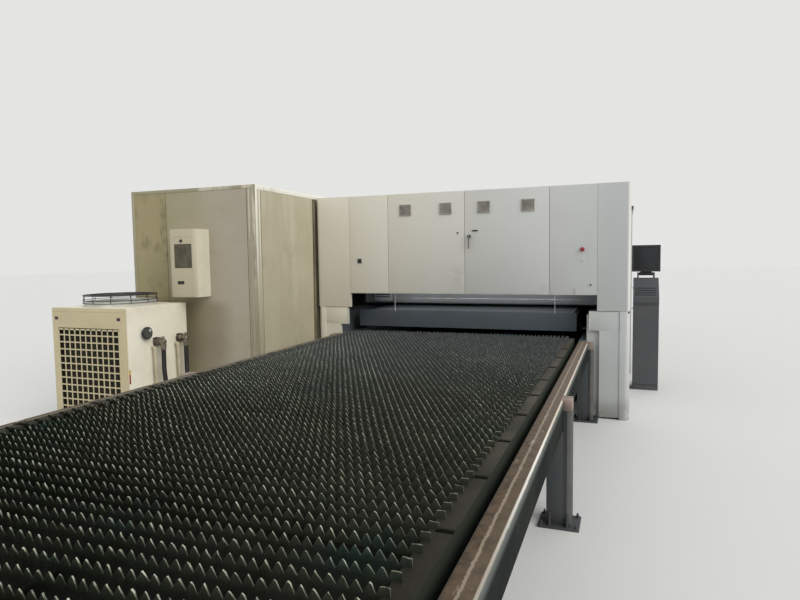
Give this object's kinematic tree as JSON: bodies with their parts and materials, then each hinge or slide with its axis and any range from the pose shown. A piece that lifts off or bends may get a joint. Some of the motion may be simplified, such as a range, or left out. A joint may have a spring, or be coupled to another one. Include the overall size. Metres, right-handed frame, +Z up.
{
  "type": "fiber laser cutting machine",
  "caption": "Enclosed flat-bed laser cutter with a two-level exchange table of toothed slats, front cabinets, gantry head, source room with cooler, chiller and console.",
  "frame": {"origin": "middle of the machine's footprint at floor level", "axes": "+Z up, +Y from the outside table into the enclosure, +X to the right when facing the doorway"},
  "size_m": [5.721, 14.25, 2.494],
  "materials": {
    "enclosure_paint": "satin white powder coat, dusty",
    "slat_steel": "dark used steel with slag and worn tooth flanks",
    "rail_steel": "brown primed steel with a bright worn edge",
    "post_paint": "dark grey paint",
    "bed_paint": "dark blue-grey paint",
    "wheel_steel": "turned steel",
    "gantry_paint": "blue-grey paint",
    "head_aluminium": "satin anodised",
    "room_panel": "stained sandwich panel with aluminium trims",
    "cooler_paint": "cream powder coat",
    "chiller_paint": "cream powder coat",
    "grille_steel": "cream grille over a dark core",
    "black_plastic": "black moulded plastic",
    "black_wire": "black coated wire",
    "hose_rubber": "black rubber hose",
    "red_plastic": "red moulded plastic",
    "window_glass": "green laser-safe glass",
    "console_paint": "dark grey textured paint",
    "source_paint": "light grey paint"
  },
  "bodies": {
    "machine": {"air_conditioner": "cooler_paint", "bed_cross_front": "bed_paint", "bed_cross_rear": "bed_paint", "bed_side_left": "bed_paint", "bed_side_right": "bed_paint", "cabinet_shell": "enclosure_paint", "chiller_body": "chiller_paint", "chiller_grille": "grille_steel", "console_cabinet": "console_paint", "enclosure_rear": "enclosure_paint", "enclosure_roof": "enclosure_paint", "enclosure_wall_left": "enclosure_paint", "enclosure_wall_right_front": "enclosure_paint", "enclosure_wall_right_rear": "enclosure_paint", "fan_guard": "black_wire", "front_column_left": "enclosure_paint", "front_column_right": "enclosure_paint", "hose_return": "hose_rubber", "hose_supply": "hose_rubber", "laser_source": "source_paint", "lower_track_left": "rail_steel", "lower_track_right": "rail_steel", "post_left_1": "post_paint", "post_left_2": "post_paint", "post_left_3": "post_paint", "post_right_1": "post_paint", "post_right_2": "post_paint", "post_right_3": "post_paint", "rail_beam_left": "rail_steel", "rail_beam_right": "rail_steel", "room_shell": "room_panel", "side_door_rail": "rail_steel"},
    "lower_wheelset_1": {"lower_wheelset_1": "wheel_steel"},
    "upper_wheel_left_1": {"upper_wheel_left_1": "wheel_steel"},
    "upper_wheel_right_1": {"upper_wheel_right_1": "wheel_steel"},
    "lower_wheelset_2": {"lower_wheelset_2": "wheel_steel"},
    "upper_wheel_left_2": {"upper_wheel_left_2": "wheel_steel"},
    "upper_wheel_right_2": {"upper_wheel_right_2": "wheel_steel"},
    "lower_wheelset_3": {"lower_wheelset_3": "wheel_steel"},
    "upper_wheel_left_3": {"upper_wheel_left_3": "wheel_steel"},
    "upper_wheel_right_3": {"upper_wheel_right_3": "wheel_steel"},
    "lower_pallet": {"lower_pallet": "slat_steel"},
    "upper_pallet": {"upper_pallet": "slat_steel"},
    "drive_shaft": {"drive_shaft": "wheel_steel"},
    "gantry_beam": {"gantry_beam": "gantry_paint"},
    "carriage": {"carriage": "gantry_paint"},
    "cutting_head": {"cutting_head": "head_aluminium"},
    "cabinet_door_1": {"cabinet_door_1": "enclosure_paint"},
    "cabinet_door_2": {"cabinet_door_2": "enclosure_paint"},
    "cabinet_door_3": {"cabinet_door_3": "enclosure_paint"},
    "cabinet_door_4": {"cabinet_door_4": "enclosure_paint"},
    "door_handle": {"door_handle": "black_plastic"},
    "estop_button": {"estop_button": "red_plastic"},
    "console_screen": {"console_screen": "black_plastic"},
    "room_door": {"room_door": "room_panel"},
    "fan_rotor": {"fan_rotor": "black_plastic"},
    "valve_lever_1": {"valve_lever_1": "wheel_steel"},
    "valve_lever_2": {"valve_lever_2": "wheel_steel"},
    "side_door": {"side_door": "enclosure_paint", "side_door_window": "window_glass"}
  },
  "joints": [
    {"name": "lower_pallet_slide", "type": "slide", "parent": "machine", "child": "lower_pallet", "axis": [0, 1, 0], "range_m": [0, 6.35]},
    {"name": "upper_pallet_slide", "type": "slide", "parent": "machine", "child": "upper_pallet", "axis": [0, -1, 0], "range_m": [0, 6.35]},
    {"name": "lower_wheelset_1_roll", "type": "hinge", "parent": "lower_pallet", "child": "lower_wheelset_1", "pos_m": [0.6365, -6.54, 0.5703], "axis": [1, 0, 0], "range_deg": [-7290, 0]},
    {"name": "lower_wheelset_2_roll", "type": "hinge", "parent": "lower_pallet", "child": "lower_wheelset_2", "pos_m": [0.6365, -3.89, 0.5703], "axis": [1, 0, 0], "range_deg": [-7290, 0]},
    {"name": "lower_wheelset_3_roll", "type": "hinge", "parent": "lower_pallet", "child": "lower_wheelset_3", "pos_m": [0.6365, -1.24, 0.5703], "axis": [1, 0, 0], "range_deg": [-7290, 0]},
    {"name": "upper_wheel_left_1_roll", "type": "hinge", "parent": "upper_pallet", "child": "upper_wheel_left_1", "pos_m": [-0.7435, -0.025, 0.8693], "axis": [1, 0, 0], "range_deg": [0, 7290]},
    {"name": "upper_wheel_left_2_roll", "type": "hinge", "parent": "upper_pallet", "child": "upper_wheel_left_2", "pos_m": [-0.7435, 2.625, 0.8693], "axis": [1, 0, 0], "range_deg": [0, 7290]},
    {"name": "upper_wheel_left_3_roll", "type": "hinge", "parent": "upper_pallet", "child": "upper_wheel_left_3", "pos_m": [-0.7435, 5.275, 0.8693], "axis": [1, 0, 0], "range_deg": [0, 7290]},
    {"name": "upper_wheel_right_1_roll", "type": "hinge", "parent": "upper_pallet", "child": "upper_wheel_right_1", "pos_m": [2.0165, -0.025, 0.8693], "axis": [1, 0, 0], "range_deg": [0, 7290]},
    {"name": "upper_wheel_right_2_roll", "type": "hinge", "parent": "upper_pallet", "child": "upper_wheel_right_2", "pos_m": [2.0165, 2.625, 0.8693], "axis": [1, 0, 0], "range_deg": [0, 7290]},
    {"name": "upper_wheel_right_3_roll", "type": "hinge", "parent": "upper_pallet", "child": "upper_wheel_right_3", "pos_m": [2.0165, 5.275, 0.8693], "axis": [1, 0, 0], "range_deg": [0, 7290]},
    {"name": "drive_shaft_turn", "type": "hinge", "parent": "machine", "child": "drive_shaft", "pos_m": [0.6365, -6.065, 0.35], "axis": [1, 0, 0], "range_deg": [-4560, 0]},
    {"name": "gantry_travel", "type": "slide", "parent": "machine", "child": "gantry_beam", "axis": [0, 1, 0], "range_m": [0, 6]},
    {"name": "carriage_travel", "type": "slide", "parent": "gantry_beam", "child": "carriage", "axis": [1, 0, 0], "range_m": [0, 2.3]},
    {"name": "head_lift", "type": "slide", "parent": "carriage", "child": "cutting_head", "axis": [0, 0, -1], "range_m": [0, 0.24]},
    {"name": "cabinet_door_1_swing", "type": "hinge", "parent": "machine", "child": "cabinet_door_1", "pos_m": [-0.1605, -0.775, 1.88], "axis": [0, 0, 1], "range_deg": [0, 85]},
    {"name": "cabinet_door_2_swing", "type": "hinge", "parent": "machine", "child": "cabinet_door_2", "pos_m": [-0.1565, -0.775, 1.88], "axis": [0, 0, -1], "range_deg": [0, 85]},
    {"name": "cabinet_door_3_swing", "type": "hinge", "parent": "machine", "child": "cabinet_door_3", "pos_m": [1.6815, -0.775, 1.88], "axis": [0, 0, 1], "range_deg": [0, 85]},
    {"name": "cabinet_door_4_swing", "type": "hinge", "parent": "machine", "child": "cabinet_door_4", "pos_m": [1.6855, -0.775, 1.88], "axis": [0, 0, -1], "range_deg": [0, 85]},
    {"name": "door_handle_turn", "type": "hinge", "parent": "cabinet_door_3", "child": "door_handle", "pos_m": [0.8125, -0.79, 1.943], "axis": [0, -1, 0], "range_deg": [0, 90]},
    {"name": "estop_press", "type": "slide", "parent": "cabinet_door_4", "child": "estop_button", "axis": [0, 1, 0], "range_m": [0, 0.005], "stiffness_N_per_m": 400},
    {"name": "side_door_travel", "type": "slide", "parent": "machine", "child": "side_door", "axis": [0, 1, 0], "range_m": [0, 1.8]},
    {"name": "console_screen_tilt", "type": "hinge", "parent": "machine", "child": "console_screen", "pos_m": [2.6905, 1.0585, 1.47], "axis": [1, 0, 0], "range_deg": [-20, 20]},
    {"name": "room_door_swing", "type": "hinge", "parent": "machine", "child": "room_door", "pos_m": [-1.5268, 0.371, 1], "axis": [0, 0, -1], "range_deg": [0, 95]},
    {"name": "fan_turn", "type": "hinge", "parent": "machine", "child": "fan_rotor", "pos_m": [-2.4015, -2.5745, 1.2], "axis": [0, 0, 1], "continuous": true},
    {"name": "valve_lever_1_turn", "type": "hinge", "parent": "machine", "child": "valve_lever_1", "pos_m": [-1.8525, -2.607, 0.97], "axis": [0, 0, 1], "range_deg": [0, 90]},
    {"name": "valve_lever_2_turn", "type": "hinge", "parent": "machine", "child": "valve_lever_2", "pos_m": [-1.8525, -2.279, 0.97], "axis": [0, 0, 1], "range_deg": [0, 90]}
  ],
  "couplings": [
    {"joint": "upper_pallet_slide", "follows": "lower_pallet_slide", "ratio": 1},
    {"joint": "lower_wheelset_1_roll", "follows": "lower_pallet_slide", "rad_per_m": -20},
    {"joint": "lower_wheelset_2_roll", "follows": "lower_pallet_slide", "rad_per_m": -20},
    {"joint": "lower_wheelset_3_roll", "follows": "lower_pallet_slide", "rad_per_m": -20},
    {"joint": "upper_wheel_left_1_roll", "follows": "lower_pallet_slide", "rad_per_m": 20},
    {"joint": "upper_wheel_left_2_roll", "follows": "lower_pallet_slide", "rad_per_m": 20},
    {"joint": "upper_wheel_left_3_roll", "follows": "lower_pallet_slide", "rad_per_m": 20},
    {"joint": "upper_wheel_right_1_roll", "follows": "lower_pallet_slide", "rad_per_m": 20},
    {"joint": "upper_wheel_right_2_roll", "follows": "lower_pallet_slide", "rad_per_m": 20},
    {"joint": "upper_wheel_right_3_roll", "follows": "lower_pallet_slide", "rad_per_m": 20},
    {"joint": "drive_shaft_turn", "follows": "lower_pallet_slide", "rad_per_m": -12.5}
  ]
}
